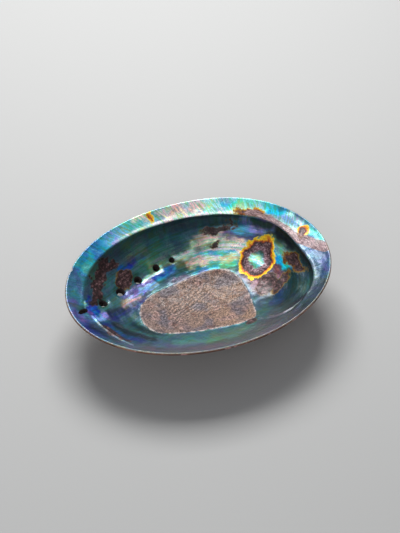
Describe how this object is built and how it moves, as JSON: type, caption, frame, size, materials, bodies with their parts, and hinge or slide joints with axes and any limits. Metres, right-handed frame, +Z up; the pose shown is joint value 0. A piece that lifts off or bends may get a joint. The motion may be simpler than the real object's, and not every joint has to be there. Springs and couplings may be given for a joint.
{
  "type": "abalone shell",
  "caption": "Empty ear-shaped abalone shell lying on its back: a shallow nacre-lined bowl with a folded shelf along one side, a row of breathing holes and a rough muscle scar.",
  "frame": {"origin": "middle of the shell's footprint, on the ground that its back rests on", "axes": "+X to the spire end along the shell's length, +Y to the side with the broad shelf, +Z up out of the bowl"},
  "size_m": [0.1722, 0.1214, 0.0396],
  "materials": {
    "shell": "iridescent nacre inside, blue-green with pink, violet and gold patches and a dull pinkish-tan scar; dull reddish-brown outside"
  },
  "bodies": {
    "root": {"shell": "shell"}
  },
  "joints": []
}
